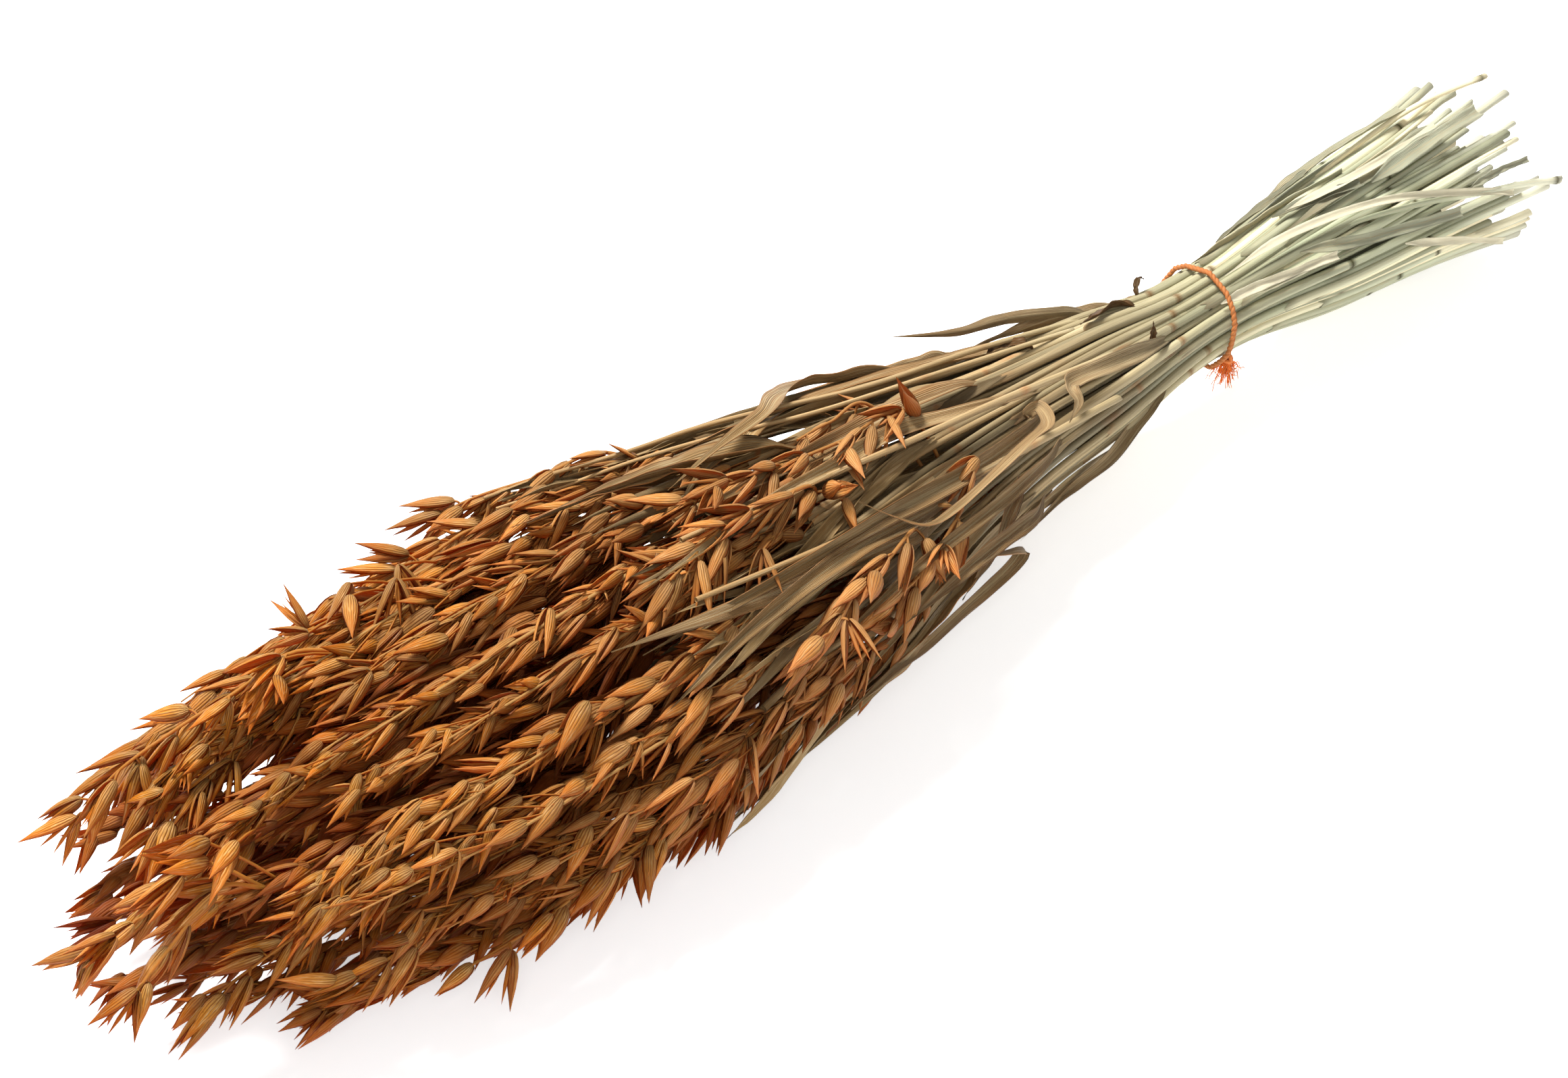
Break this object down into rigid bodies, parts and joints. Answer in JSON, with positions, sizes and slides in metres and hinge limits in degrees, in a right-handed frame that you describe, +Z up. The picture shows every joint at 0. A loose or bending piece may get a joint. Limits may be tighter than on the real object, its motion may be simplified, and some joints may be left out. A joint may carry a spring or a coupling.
{
  "type": "bundle of dried oat straw",
  "caption": "Tied bundle of dried oat straw lying on its side, with full seed heads at one end, a tight waist under a thin cord and a spread of cut stems at the other.",
  "frame": {"origin": "middle of the bundle's footprint, on the surface that it lies on", "axes": "+X along the bundle from the seed heads to the cut ends, +Z up from the surface it lies on"},
  "size_m": [0.6764, 0.1488, 0.1045],
  "materials": {
    "straw": "satin",
    "seed_heads": "matte",
    "leaves": "matte",
    "tie": "matte"
  },
  "bodies": {
    "root": {"stalk_01": "straw", "stalk_02": "straw", "stalk_03": "straw", "stalk_04": "straw", "stalk_05": "straw", "stalk_06": "straw", "stalk_07": "straw", "stalk_08": "straw", "stalk_09": "straw", "stalk_10": "straw", "stalk_11": "straw", "stalk_12": "straw", "stalk_13": "straw", "stalk_14": "straw", "stalk_15": "straw", "stalk_16": "straw", "stalk_17": "straw", "stalk_18": "straw", "stalk_19": "straw", "stalk_20": "straw", "stalk_21": "straw", "stalk_22": "straw", "stalk_23": "straw", "stalk_24": "straw", "stalk_25": "straw", "stalk_26": "straw", "stalk_27": "straw", "stalk_28": "straw", "stalk_29": "straw", "stalk_30": "straw", "stalk_31": "straw", "stalk_32": "straw", "stalk_33": "straw", "stalk_34": "straw", "stalk_35": "straw", "stalk_36": "straw", "stalk_37": "straw", "stalk_38": "straw", "stalk_39": "straw", "stalk_40": "straw", "stalk_41": "straw", "stalk_42": "straw", "stalk_43": "straw", "stalk_44": "straw", "stalk_45": "straw", "stalk_46": "straw", "stalk_47": "straw", "stalk_48": "straw", "leaf_01": "leaves", "leaf_02": "leaves", "leaf_03": "leaves", "leaf_04": "leaves", "leaf_05": "leaves", "leaf_06": "leaves", "leaf_07": "leaves", "leaf_08": "leaves", "leaf_09": "leaves", "leaf_10": "leaves", "tie_cord": "tie", "tie_knot": "tie"}
  },
  "joints": []
}
